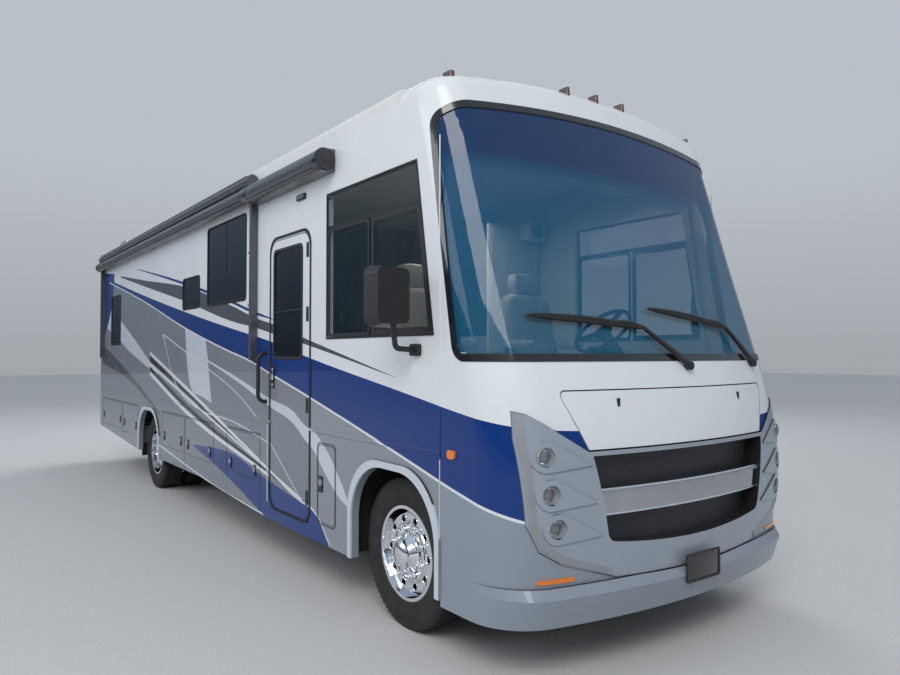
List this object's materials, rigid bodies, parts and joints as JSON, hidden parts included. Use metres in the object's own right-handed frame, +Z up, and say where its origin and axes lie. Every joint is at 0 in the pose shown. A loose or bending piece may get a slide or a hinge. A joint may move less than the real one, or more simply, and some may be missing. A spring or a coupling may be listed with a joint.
{
  "type": "motorhome",
  "caption": "Class A motorhome on a gas truck chassis, with a hollow cabin, glazed front cap, twin rear wheels, luggage doors, awnings and roof equipment.",
  "frame": {"origin": "on the ground under the middle of the coach", "axes": "+Z up, front towards -Y, the entry door on the -X side"},
  "size_m": [3.24, 10.3, 3.6449],
  "materials": {
    "shell_white": "gloss",
    "shell_silver": "gloss",
    "shell_lower": "gloss",
    "glazing": "gloss",
    "glazing_dark": "gloss",
    "seal_rubber": "satin",
    "lamp_clear": "gloss",
    "lamp_amber": "gloss",
    "lamp_red": "gloss",
    "grille_black": "matte",
    "chrome_trim": "polished",
    "floor_board": "satin",
    "trim_black": "matte",
    "bay_liner": "matte",
    "frame_steel": "satin",
    "engine_iron": "matte",
    "tyre_rubber": "matte",
    "rim_chrome": "polished",
    "mirror_shell": "gloss",
    "awning_grey": "satin",
    "roof_plastic": "matte",
    "bright_tube": "satin",
    "grip_black": "matte",
    "interior_trim": "matte",
    "seat_leather": "satin",
    "cabinet_wood": "satin"
  },
  "bodies": {
    "coach": {"front_cap": "shell_white", "roof": "shell_white", "rear_cap": "shell_white", "side_wall_curb": "shell_white", "side_wall_street": "shell_white", "front_bumper": "shell_silver", "grille_surround": "shell_silver", "windscreen": "glazing", "side_windows_curb": "glazing_dark", "side_windows_street": "glazing_dark", "windscreen_seal": "seal_rubber", "headlamps": "lamp_clear", "marker_lamps": "lamp_amber", "tail_lamps": "lamp_red", "grille": "grille_black", "grille_bar": "chrome_trim", "floor": "floor_board", "entry_steps": "trim_black", "storage_bays_curb": "bay_liner", "storage_bays_street": "bay_liner", "chassis_frame": "frame_steel", "engine_block": "engine_iron", "front_axle": "frame_steel", "rear_axle": "frame_steel", "mirrors": "mirror_shell", "awnings": "awning_grey", "roof_equipment": "roof_plastic", "ladder": "bright_tube", "grab_handle": "grip_black", "wipers": "trim_black", "dashboard": "interior_trim", "front_seats": "seat_leather", "interior_cabinets": "cabinet_wood"},
    "entry_door": {"entry_door": "shell_white", "entry_door_window": "glazing_dark"},
    "hood": {"hood": "shell_white"},
    "steering_wheel": {"steering_wheel": "grip_black"},
    "knuckle_curb": {"knuckle_curb": "frame_steel"},
    "front_wheel_curb": {"front_tyre_curb": "tyre_rubber", "front_rim_curb": "rim_chrome"},
    "rear_wheels_curb": {"rear_tyres_curb": "tyre_rubber", "rear_rims_curb": "rim_chrome"},
    "knuckle_street": {"knuckle_street": "frame_steel"},
    "front_wheel_street": {"front_tyre_street": "tyre_rubber", "front_rim_street": "rim_chrome"},
    "rear_wheels_street": {"rear_tyres_street": "tyre_rubber", "rear_rims_street": "rim_chrome"},
    "luggage_door_curb_1": {"luggage_door_curb_1": "shell_lower"},
    "luggage_door_curb_2": {"luggage_door_curb_2": "shell_lower"},
    "luggage_door_curb_3": {"luggage_door_curb_3": "shell_lower"},
    "luggage_door_curb_4": {"luggage_door_curb_4": "shell_lower"},
    "luggage_door_curb_5": {"luggage_door_curb_5": "shell_lower"},
    "luggage_door_street_1": {"luggage_door_street_1": "shell_lower"},
    "luggage_door_street_2": {"luggage_door_street_2": "shell_lower"},
    "luggage_door_street_3": {"luggage_door_street_3": "shell_lower"}
  },
  "joints": [
    {"name": "entry_door_hinge", "type": "hinge", "parent": "coach", "child": "entry_door", "pos_m": [-1.2825, -2.72, 1.5], "axis": [0, 0, 1], "range_deg": [0, 100]},
    {"name": "hood_hinge", "type": "hinge", "parent": "coach", "child": "hood", "pos_m": [0, -5, 1.635], "axis": [-1, 0, 0], "range_deg": [0, 60]},
    {"name": "steer_curb", "type": "hinge", "parent": "coach", "child": "knuckle_curb", "pos_m": [-0.93, -3.86, 0.4575], "axis": [0, 0, 1], "range_deg": [-40, 40]},
    {"name": "front_wheel_spin_curb", "type": "hinge", "parent": "knuckle_curb", "child": "front_wheel_curb", "pos_m": [-1.07, -3.86, 0.4575], "axis": [1, 0, 0], "continuous": true},
    {"name": "rear_wheels_spin_curb", "type": "hinge", "parent": "coach", "child": "rear_wheels_curb", "pos_m": [-0.92, 1.931, 0.4575], "axis": [1, 0, 0], "continuous": true},
    {"name": "steer_street", "type": "hinge", "parent": "coach", "child": "knuckle_street", "pos_m": [0.93, -3.86, 0.4575], "axis": [0, 0, 1], "range_deg": [-40, 40]},
    {"name": "front_wheel_spin_street", "type": "hinge", "parent": "knuckle_street", "child": "front_wheel_street", "pos_m": [1.07, -3.86, 0.4575], "axis": [1, 0, 0], "continuous": true},
    {"name": "rear_wheels_spin_street", "type": "hinge", "parent": "coach", "child": "rear_wheels_street", "pos_m": [0.92, 1.931, 0.4575], "axis": [1, 0, 0], "continuous": true},
    {"name": "steering_wheel_turn", "type": "hinge", "parent": "coach", "child": "steering_wheel", "pos_m": [0.52, -3.96, 1.85], "axis": [0, 0.6428, 0.766], "range_deg": [-640, 640]},
    {"name": "luggage_door_curb_1_hinge", "type": "hinge", "parent": "coach", "child": "luggage_door_curb_1", "pos_m": [-1.2825, -1.36, 1.01], "axis": [0, 1, 0], "range_deg": [0, 95]},
    {"name": "luggage_door_curb_2_hinge", "type": "hinge", "parent": "coach", "child": "luggage_door_curb_2", "pos_m": [-1.2825, -0.105, 1.01], "axis": [0, 1, 0], "range_deg": [0, 95]},
    {"name": "luggage_door_curb_3_hinge", "type": "hinge", "parent": "coach", "child": "luggage_door_curb_3", "pos_m": [-1.2825, 0.853, 1.01], "axis": [0, 1, 0], "range_deg": [0, 95]},
    {"name": "luggage_door_curb_4_hinge", "type": "hinge", "parent": "coach", "child": "luggage_door_curb_4", "pos_m": [-1.2825, 2.935, 1.01], "axis": [0, 1, 0], "range_deg": [0, 95]},
    {"name": "luggage_door_curb_5_hinge", "type": "hinge", "parent": "coach", "child": "luggage_door_curb_5", "pos_m": [-1.2825, 4.108, 1.01], "axis": [0, 1, 0], "range_deg": [0, 95]},
    {"name": "luggage_door_street_1_hinge", "type": "hinge", "parent": "coach", "child": "luggage_door_street_1", "pos_m": [1.2825, -1.55, 1.01], "axis": [0, -1, 0], "range_deg": [0, 95]},
    {"name": "luggage_door_street_2_hinge", "type": "hinge", "parent": "coach", "child": "luggage_door_street_2", "pos_m": [1.2825, 0.82, 1.01], "axis": [0, -1, 0], "range_deg": [0, 95]},
    {"name": "luggage_door_street_3_hinge", "type": "hinge", "parent": "coach", "child": "luggage_door_street_3", "pos_m": [1.2825, 3.19, 1.01], "axis": [0, -1, 0], "range_deg": [0, 95]}
  ],
  "couplings": [
    {"joint": "steer_curb", "follows": "steer_street", "ratio": 1},
    {"joint": "steering_wheel_turn", "follows": "steer_street", "ratio": 16}
  ]
}
